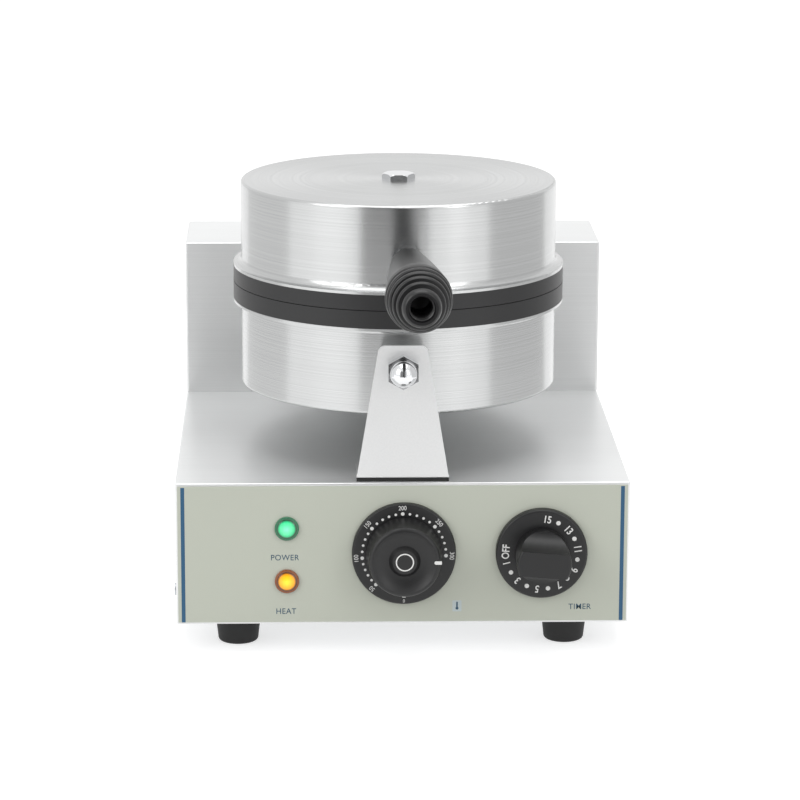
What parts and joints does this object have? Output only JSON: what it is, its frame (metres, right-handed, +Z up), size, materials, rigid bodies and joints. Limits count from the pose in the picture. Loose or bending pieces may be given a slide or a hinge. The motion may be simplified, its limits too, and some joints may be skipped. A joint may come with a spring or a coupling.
{
  "type": "round waffle maker",
  "caption": "Round countertop waffle maker: hinged lid over a fixed pan on a steel base with a rear column, thermostat dial, timer knob and pilot lamps.",
  "frame": {"origin": "on the table, under the middle of the machine's bounding box", "axes": "+X to the user's right, +Y from the control panel to the rear column, +Z up"},
  "size_m": [0.2648, 0.426, 0.2618],
  "materials": {
    "brushed_steel": "brushed",
    "spun_steel": "brushed in circles",
    "chrome": "polished",
    "zinc_steel": "zinc plated",
    "printed_film": "satin",
    "black_rubber": "matte",
    "coated_casting": "black non-stick coating",
    "cast_aluminium": "cast",
    "black_handle": "satin",
    "black_knob": "satin",
    "heater_steel": "oxidised",
    "mineral_wool": "fibrous",
    "bronze_bush": "sintered",
    "black_body": "moulded",
    "green_lens": "clear tinted",
    "amber_lens": "clear tinted",
    "white_body": "moulded",
    "copper": "drawn tube",
    "timer_case": "zinc plated"
  },
  "bodies": {
    "base": {"base_shell": "brushed_steel", "front_film": "printed_film", "base_plate": "zinc_steel", "base_plate_screws": "zinc_steel", "foot_front_left": "black_rubber", "foot_front_right": "black_rubber", "foot_rear_left": "black_rubber", "foot_rear_right": "black_rubber", "foot_screws": "zinc_steel", "bracket_gasket": "black_rubber", "support_bracket": "brushed_steel", "bracket_screws": "zinc_steel", "front_stud": "zinc_steel", "front_spacer": "zinc_steel", "acorn_nut": "chrome", "column_shell": "brushed_steel", "column_cover": "brushed_steel", "cover_screws": "zinc_steel", "column_screws": "zinc_steel", "rear_support": "brushed_steel", "pan_screws": "zinc_steel", "m5_nuts": "zinc_steel", "lower_pan": "spun_steel", "lower_waffle_plate": "coated_casting", "hinge_bracket": "brushed_steel", "hinge_screws": "zinc_steel", "hinge_pin": "zinc_steel", "thermostat_body": "black_body", "thermostat_dial": "black_knob", "control_screws": "zinc_steel", "thermostat_capillary": "copper", "timer_body": "timer_case", "power_lamp_lens": "green_lens", "power_lamp_body": "white_body", "heat_lamp_lens": "amber_lens", "heat_lamp_body": "white_body", "terminal_block": "white_body", "cable_gland": "black_body", "lower_heater": "heater_steel", "lower_heater_clamp": "zinc_steel", "lower_insulation": "mineral_wool", "lower_centre_stud": "zinc_steel", "lower_pan_nut": "chrome"},
    "lid": {"upper_pan": "spun_steel", "upper_waffle_plate": "coated_casting", "upper_heater": "heater_steel", "upper_heater_clamp": "zinc_steel", "upper_insulation": "mineral_wool", "upper_centre_stud": "zinc_steel", "upper_pan_nut": "chrome", "handle_stud": "zinc_steel", "handle_nut": "chrome", "handle_grip": "black_handle", "hinge_arm": "cast_aluminium", "hinge_bush": "bronze_bush", "arm_screws": "zinc_steel"},
    "thermostat_knob": {"thermostat_knob": "black_knob", "thermostat_spindle": "zinc_steel"},
    "timer_knob": {"timer_knob": "black_knob", "timer_spindle": "zinc_steel"}
  },
  "joints": [
    {"name": "lid_hinge", "type": "hinge", "parent": "base", "child": "lid", "pos_m": [0, 0.1439, 0.21], "axis": [-1, 0, 0], "range_deg": [0, 100]},
    {"name": "thermostat_turn", "type": "hinge", "parent": "base", "child": "thermostat_knob", "pos_m": [0.0006, -0.1011, 0.0602], "axis": [0, -1, 0], "range_deg": [0, 270]},
    {"name": "timer_turn", "type": "hinge", "parent": "base", "child": "timer_knob", "pos_m": [0.0795, -0.1011, 0.0602], "axis": [0, 1, 0], "range_deg": [0, 266]}
  ]
}
